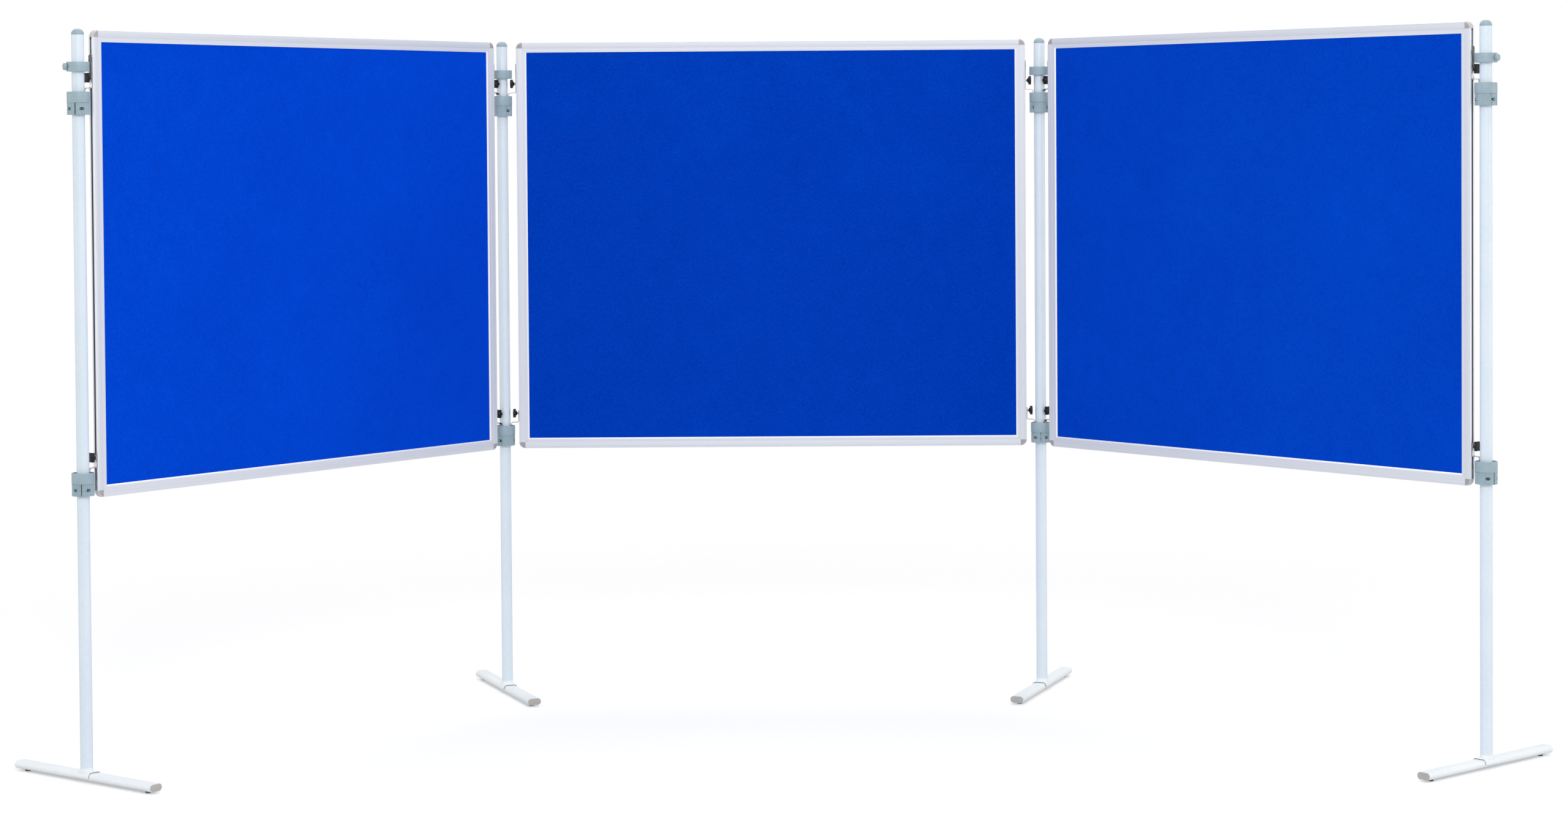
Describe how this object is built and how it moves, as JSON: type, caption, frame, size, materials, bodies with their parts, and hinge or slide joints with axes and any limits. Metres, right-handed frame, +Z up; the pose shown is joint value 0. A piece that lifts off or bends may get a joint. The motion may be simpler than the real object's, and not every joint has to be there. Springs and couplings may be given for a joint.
{
  "type": "mobile pinboard",
  "caption": "Folding screen of felt pinboards whose hooks hang in clamp collars on tubular posts with T-feet; height and angles can be set.",
  "frame": {"origin": "on the floor, below the middle of the whole set's box", "axes": "+X along the centre board towards its right end, +Y away from the viewer, +Z up"},
  "size_m": [4.0332, 1.695, 1.9288],
  "materials": {
    "frame_aluminium": "satin anodised",
    "blue_felt": "matt felt",
    "blue_grey_plastic": "moulded, satin",
    "pale_powder_coat": "smooth powder coat",
    "white_powder_coat": "smooth powder coat",
    "bright_zinc": "bright zinc plate",
    "black_plastic": "moulded, satin"
  },
  "bodies": {
    "centre_board": {"centre_frame": "frame_aluminium", "centre_panel": "blue_felt", "centre_hook_post2_top": "bright_zinc", "centre_hook_post2_bottom": "bright_zinc", "centre_hook_post3_top": "bright_zinc", "centre_hook_post3_bottom": "bright_zinc"},
    "left_board": {"left_frame": "frame_aluminium", "left_panel": "blue_felt", "left_hook_post2_top": "bright_zinc", "left_hook_post2_bottom": "bright_zinc", "left_hook_post1_top": "bright_zinc", "left_hook_post1_bottom": "bright_zinc"},
    "right_board": {"right_frame": "frame_aluminium", "right_panel": "blue_felt", "right_hook_post3_top": "bright_zinc", "right_hook_post3_bottom": "bright_zinc", "right_hook_post4_top": "bright_zinc", "right_hook_post4_bottom": "bright_zinc"},
    "collars_1": {"post_1_top_collar": "blue_grey_plastic", "post_1_bottom_collar": "blue_grey_plastic"},
    "post_1": {"post_1_tube": "pale_powder_coat", "post_1_cap": "blue_grey_plastic", "post_1_foot": "white_powder_coat"},
    "lock_ring_1": {"post_1_lock_ring": "blue_grey_plastic"},
    "ring_knob_1": {"post_1_ring_knob": "blue_grey_plastic"},
    "collars_2": {"post_2_top_collar": "blue_grey_plastic", "post_2_bottom_collar": "blue_grey_plastic"},
    "post_2": {"post_2_tube": "pale_powder_coat", "post_2_cap": "blue_grey_plastic", "post_2_foot": "white_powder_coat"},
    "lock_ring_2": {"post_2_lock_ring": "blue_grey_plastic"},
    "ring_knob_2": {"post_2_ring_knob": "blue_grey_plastic"},
    "collars_3": {"post_3_top_collar": "blue_grey_plastic", "post_3_bottom_collar": "blue_grey_plastic"},
    "post_3": {"post_3_tube": "pale_powder_coat", "post_3_cap": "blue_grey_plastic", "post_3_foot": "white_powder_coat"},
    "lock_ring_3": {"post_3_lock_ring": "blue_grey_plastic"},
    "ring_knob_3": {"post_3_ring_knob": "blue_grey_plastic"},
    "collars_4": {"post_4_top_collar": "blue_grey_plastic", "post_4_bottom_collar": "blue_grey_plastic"},
    "post_4": {"post_4_tube": "pale_powder_coat", "post_4_cap": "blue_grey_plastic", "post_4_foot": "white_powder_coat"},
    "lock_ring_4": {"post_4_lock_ring": "blue_grey_plastic"},
    "ring_knob_4": {"post_4_ring_knob": "blue_grey_plastic"},
    "centre_knob_post2_top": {"centre_knob_post2_top": "black_plastic"},
    "centre_knob_post2_bottom": {"centre_knob_post2_bottom": "black_plastic"},
    "centre_knob_post3_top": {"centre_knob_post3_top": "black_plastic"},
    "centre_knob_post3_bottom": {"centre_knob_post3_bottom": "black_plastic"},
    "left_knob_post2_top": {"left_knob_post2_top": "black_plastic"},
    "left_knob_post2_bottom": {"left_knob_post2_bottom": "black_plastic"},
    "left_knob_post1_top": {"left_knob_post1_top": "black_plastic"},
    "left_knob_post1_bottom": {"left_knob_post1_bottom": "black_plastic"},
    "right_knob_post3_top": {"right_knob_post3_top": "black_plastic"},
    "right_knob_post3_bottom": {"right_knob_post3_bottom": "black_plastic"},
    "right_knob_post4_top": {"right_knob_post4_top": "black_plastic"},
    "right_knob_post4_bottom": {"right_knob_post4_bottom": "black_plastic"}
  },
  "joints": [
    {"name": "swing_left", "type": "hinge", "parent": "centre_board", "child": "left_board", "pos_m": [-0.83766, 0.59166, 0], "axis": [0, 0, 1], "range_deg": [-157.9, 52.1]},
    {"name": "swing_right", "type": "hinge", "parent": "centre_board", "child": "right_board", "pos_m": [0.74634, 0.59166, 0], "axis": [0, 0, 1], "range_deg": [-57, 153]},
    {"name": "turn_1", "type": "hinge", "parent": "left_board", "child": "collars_1", "pos_m": [-1.79314, -0.67171, 0], "axis": [0, 0, 1], "continuous": true},
    {"name": "height_1", "type": "slide", "parent": "collars_1", "child": "post_1", "axis": [0, 0, 1], "range_m": [-0.065, 0.66]},
    {"name": "ring_lift_1", "type": "slide", "parent": "collars_1", "child": "lock_ring_1", "axis": [0, 0, 1], "range_m": [0, 0.065]},
    {"name": "ring_knob_turn_1", "type": "hinge", "parent": "lock_ring_1", "child": "ring_knob_1", "pos_m": [-1.79314, -0.67171, 1.83225], "axis": [-0.866, -0.5, 0], "range_deg": [0, 720]},
    {"name": "turn_2", "type": "hinge", "parent": "centre_board", "child": "collars_2", "pos_m": [-0.83766, 0.59166, 0], "axis": [0, 0, 1], "continuous": true},
    {"name": "height_2", "type": "slide", "parent": "collars_2", "child": "post_2", "axis": [0, 0, 1], "range_m": [-0.065, 0.66]},
    {"name": "ring_lift_2", "type": "slide", "parent": "collars_2", "child": "lock_ring_2", "axis": [0, 0, 1], "range_m": [0, 0.065]},
    {"name": "ring_knob_turn_2", "type": "hinge", "parent": "lock_ring_2", "child": "ring_knob_2", "pos_m": [-0.83766, 0.59166, 1.83225], "axis": [-0.1736, 0.9848, 0], "range_deg": [0, 720]},
    {"name": "turn_3", "type": "hinge", "parent": "centre_board", "child": "collars_3", "pos_m": [0.74634, 0.59166, 0], "axis": [0, 0, 1], "continuous": true},
    {"name": "height_3", "type": "slide", "parent": "collars_3", "child": "post_3", "axis": [0, 0, 1], "range_m": [-0.065, 0.66]},
    {"name": "ring_lift_3", "type": "slide", "parent": "collars_3", "child": "lock_ring_3", "axis": [0, 0, 1], "range_m": [0, 0.065]},
    {"name": "ring_knob_turn_3", "type": "hinge", "parent": "lock_ring_3", "child": "ring_knob_3", "pos_m": [0.74634, 0.59166, 1.83225], "axis": [0.0872, 0.9962, 0], "range_deg": [0, 720]},
    {"name": "turn_4", "type": "hinge", "parent": "right_board", "child": "collars_4", "pos_m": [1.80625, -0.58548, 0], "axis": [0, 0, 1], "continuous": true},
    {"name": "height_4", "type": "slide", "parent": "collars_4", "child": "post_4", "axis": [0, 0, 1], "range_m": [-0.065, 0.66]},
    {"name": "ring_lift_4", "type": "slide", "parent": "collars_4", "child": "lock_ring_4", "axis": [0, 0, 1], "range_m": [0, 0.065]},
    {"name": "ring_knob_turn_4", "type": "hinge", "parent": "lock_ring_4", "child": "ring_knob_4", "pos_m": [1.80625, -0.58548, 1.83225], "axis": [0.7314, -0.682, 0], "range_deg": [0, 720]},
    {"name": "centre_knob_turn_2_top", "type": "hinge", "parent": "centre_board", "child": "centre_knob_post2_top", "pos_m": [-0.79796, 0.59166, 1.8045], "axis": [-1, 0, 0], "range_deg": [-360, 360]},
    {"name": "centre_knob_turn_2_bottom", "type": "hinge", "parent": "centre_board", "child": "centre_knob_post2_bottom", "pos_m": [-0.79796, 0.59166, 0.8305], "axis": [-1, 0, 0], "range_deg": [-360, 360]},
    {"name": "centre_knob_turn_3_top", "type": "hinge", "parent": "centre_board", "child": "centre_knob_post3_top", "pos_m": [0.70664, 0.59166, 1.8045], "axis": [1, 0, 0], "range_deg": [-360, 360]},
    {"name": "centre_knob_turn_3_bottom", "type": "hinge", "parent": "centre_board", "child": "centre_knob_post3_bottom", "pos_m": [0.70664, 0.59166, 0.8305], "axis": [1, 0, 0], "range_deg": [-360, 360]},
    {"name": "left_knob_turn_2_top", "type": "hinge", "parent": "left_board", "child": "left_knob_post2_top", "pos_m": [-0.8616, 0.55999, 1.8045], "axis": [0.6032, 0.7976, 0], "range_deg": [-360, 360]},
    {"name": "left_knob_turn_2_bottom", "type": "hinge", "parent": "left_board", "child": "left_knob_post2_bottom", "pos_m": [-0.8616, 0.55999, 0.8305], "axis": [0.6032, 0.7976, 0], "range_deg": [-360, 360]},
    {"name": "left_knob_turn_1_top", "type": "hinge", "parent": "left_board", "child": "left_knob_post1_top", "pos_m": [-1.76919, -0.64005, 1.8045], "axis": [-0.6032, -0.7976, 0], "range_deg": [-360, 360]},
    {"name": "left_knob_turn_1_bottom", "type": "hinge", "parent": "left_board", "child": "left_knob_post1_bottom", "pos_m": [-1.76919, -0.64005, 0.8305], "axis": [-0.6032, -0.7976, 0], "range_deg": [-360, 360]},
    {"name": "right_knob_turn_3_top", "type": "hinge", "parent": "right_board", "child": "right_knob_post3_top", "pos_m": [0.77291, 0.56215, 1.8045], "axis": [-0.6691, 0.7431, 0], "range_deg": [-360, 360]},
    {"name": "right_knob_turn_3_bottom", "type": "hinge", "parent": "right_board", "child": "right_knob_post3_bottom", "pos_m": [0.77291, 0.56215, 0.8305], "axis": [-0.6691, 0.7431, 0], "range_deg": [-360, 360]},
    {"name": "right_knob_turn_4_top", "type": "hinge", "parent": "right_board", "child": "right_knob_post4_top", "pos_m": [1.77968, -0.55598, 1.8045], "axis": [0.6691, -0.7431, 0], "range_deg": [-360, 360]},
    {"name": "right_knob_turn_4_bottom", "type": "hinge", "parent": "right_board", "child": "right_knob_post4_bottom", "pos_m": [1.77968, -0.55598, 0.8305], "axis": [0.6691, -0.7431, 0], "range_deg": [-360, 360]}
  ],
  "couplings": [
    {"joint": "height_1", "follows": "height_2", "ratio": 1},
    {"joint": "height_3", "follows": "height_2", "ratio": 1},
    {"joint": "height_4", "follows": "height_2", "ratio": 1}
  ]
}
